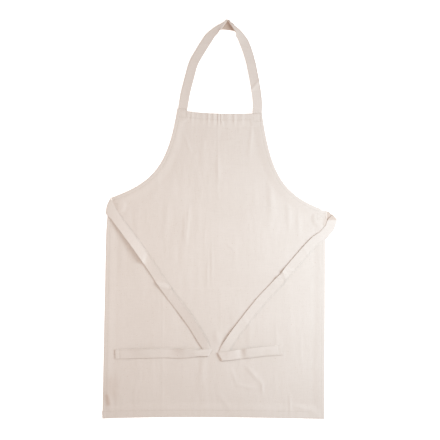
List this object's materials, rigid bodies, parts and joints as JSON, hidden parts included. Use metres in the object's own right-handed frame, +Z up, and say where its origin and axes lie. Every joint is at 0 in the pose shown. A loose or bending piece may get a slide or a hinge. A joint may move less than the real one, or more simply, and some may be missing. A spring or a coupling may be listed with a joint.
{
  "type": "bib apron",
  "caption": "Cream cotton kitchen apron lying flat, front up: bib, skirt, turned hems, a neck loop to hang it by and two waist ties folded across the skirt.",
  "frame": {"origin": "on the table, under the centre of the whole apron's outline", "axes": "+X to the right of the apron's front, +Y from the skirt towards the neck loop, +Z up out of the front of the cloth"},
  "size_m": [0.684, 1.1678, 0.0069],
  "materials": {
    "canvas": "matt unbleached cotton canvas, plain weave",
    "tape": "the same canvas folded into tape",
    "thread": "cotton sewing thread",
    "label": "blank woven satin label"
  },
  "bodies": {
    "skirt": {"skirt_panel": "canvas", "left_side_hem": "canvas", "right_side_hem": "canvas", "bottom_hem": "canvas", "left_side_thread": "thread", "right_side_thread": "thread", "bottom_hem_thread": "thread", "left_tie_sewn_end": "tape", "right_tie_sewn_end": "tape", "left_tie_stitching": "thread", "right_tie_stitching": "thread", "care_label": "label"},
    "bib": {"bib_panel": "canvas", "top_hem": "canvas", "left_armhole_hem": "canvas", "right_armhole_hem": "canvas", "top_hem_thread": "thread", "left_armhole_thread": "thread", "right_armhole_thread": "thread", "left_strap_sewn_end": "tape", "right_strap_sewn_end": "tape", "left_strap_stitching": "thread", "right_strap_stitching": "thread"},
    "neck_loop": {"neck_strap": "tape", "neck_strap_seam": "thread"},
    "left_tie": {"left_tie": "tape", "left_tie_seam": "thread"},
    "left_tie_end": {"left_tie_free_end": "tape", "left_tie_free_end_seam": "thread", "left_tie_end_stitching": "thread"},
    "right_tie": {"right_tie": "tape", "right_tie_seam": "thread"},
    "right_tie_end": {"right_tie_free_end": "tape", "right_tie_free_end_seam": "thread", "right_tie_end_stitching": "thread"}
  },
  "joints": [
    {"name": "waist_fold", "type": "hinge", "parent": "skirt", "child": "bib", "pos_m": [-0.001, 0.044, 0.006], "axis": [0.9982, -0.0596, 0], "range_deg": [0, 175]},
    {"name": "neck_fold", "type": "hinge", "parent": "bib", "child": "neck_loop", "pos_m": [0.002, 0.32015, 0.0026], "axis": [-0.9984, 0.0564, 0], "range_deg": [-175, 0]},
    {"name": "left_tie_fold", "type": "hinge", "parent": "skirt", "child": "left_tie", "pos_m": [-0.331, 0.038, 0.0021], "axis": [-0.4595, -0.8882, 0], "range_deg": [0, 175]},
    {"name": "left_tie_end_fold", "type": "hinge", "parent": "left_tie", "child": "left_tie_end", "pos_m": [-0.028, -0.39, 0.00465], "axis": [0.4514, 0.8923, 0], "range_deg": [0, 170]},
    {"name": "right_tie_fold", "type": "hinge", "parent": "skirt", "child": "right_tie", "pos_m": [0.3355, 0.0095, 0.0021], "axis": [-0.432, 0.9019, 0], "range_deg": [0, 175]},
    {"name": "right_tie_end_fold", "type": "hinge", "parent": "right_tie", "child": "right_tie_end", "pos_m": [0.0045, -0.402, 0.00465], "axis": [0.4779, -0.8784, 0], "range_deg": [0, 170]}
  ]
}
